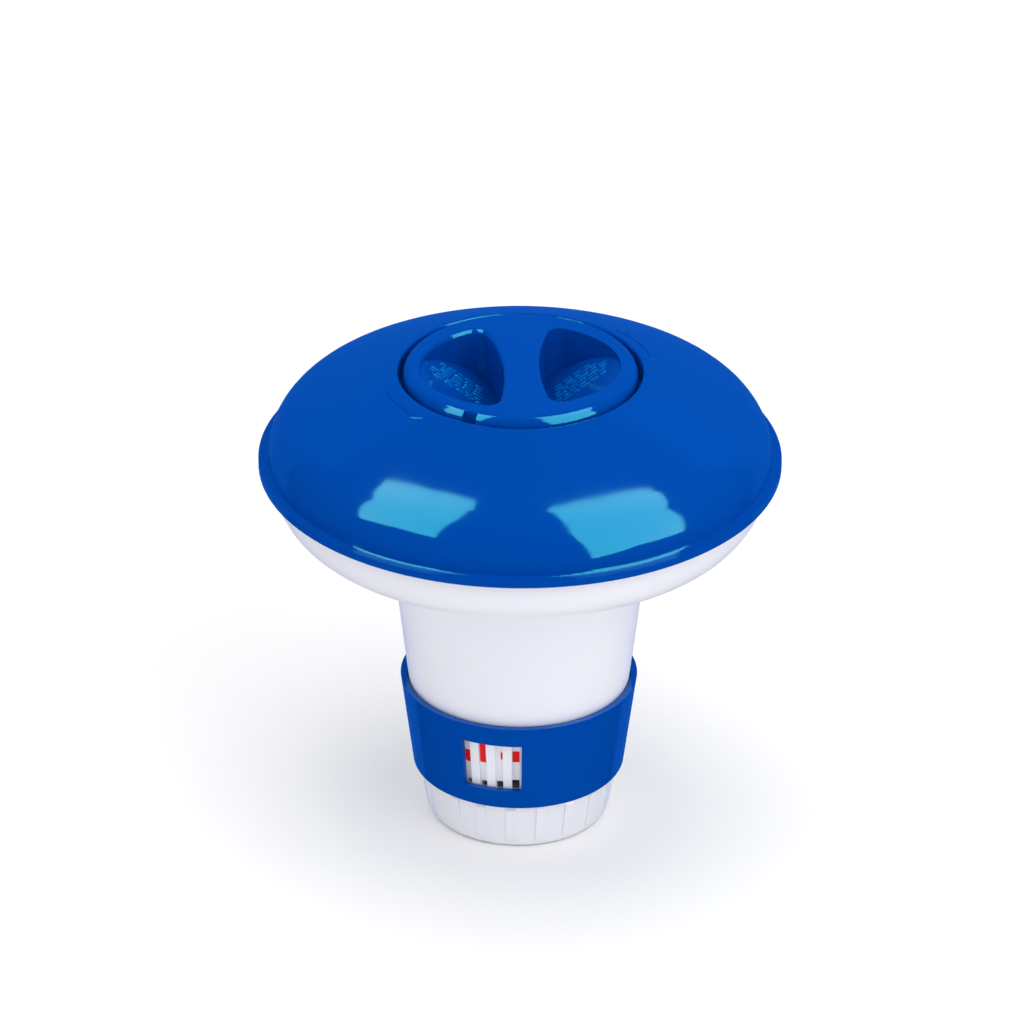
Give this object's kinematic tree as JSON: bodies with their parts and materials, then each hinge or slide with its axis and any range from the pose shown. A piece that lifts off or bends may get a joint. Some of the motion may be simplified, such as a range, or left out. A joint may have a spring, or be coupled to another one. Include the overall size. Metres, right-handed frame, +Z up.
{
  "type": "floating chlorine dispenser",
  "caption": "Floating pool tablet dispenser: domed float with a turning filler cap, tapered barrel, dosing ring with a window and weighted fluted base cup.",
  "frame": {"origin": "centre of the base cup's foot, on the surface it stands on", "axes": "+Z up along the dispenser's axis, -Y the front, where the regulator window lies over the dosing grooves"},
  "size_m": [0.127, 0.127, 0.1236],
  "materials": {
    "blue_plastic": "glossy moulded blue",
    "white_plastic": "satin moulded white",
    "seal_rubber": "matt black rubber",
    "red_print": "pad-printed red",
    "ballast_steel": "zinc-plated steel"
  },
  "bodies": {
    "float": {"float_dome": "blue_plastic", "float_pan": "white_plastic", "rim_seal": "seal_rubber", "filler_neck": "white_plastic", "neck_gasket": "seal_rubber", "neck_foot_gasket": "seal_rubber", "tablet_barrel": "white_plastic", "dose_marks": "red_print", "tablet_grid": "white_plastic", "base_cup": "white_plastic", "ballast_weight": "ballast_steel", "ballast_cover": "white_plastic"},
    "cap_seal": {"cap_seal": "seal_rubber"},
    "cap": {"filler_cap": "blue_plastic"},
    "ring": {"regulator_ring": "blue_plastic"}
  },
  "joints": [
    {"name": "cap_lift", "type": "slide", "parent": "float", "child": "cap_seal", "axis": [0, 0, 1], "range_m": [0, 0.04]},
    {"name": "cap_turn", "type": "hinge", "parent": "cap_seal", "child": "cap", "pos_m": [0, 0, 0.118], "axis": [0, 0, 1], "range_deg": [-45, 0]},
    {"name": "regulator_turn", "type": "hinge", "parent": "float", "child": "ring", "pos_m": [0, 0, 0.025], "axis": [0, 0, 1], "range_deg": [0, 40]}
  ]
}
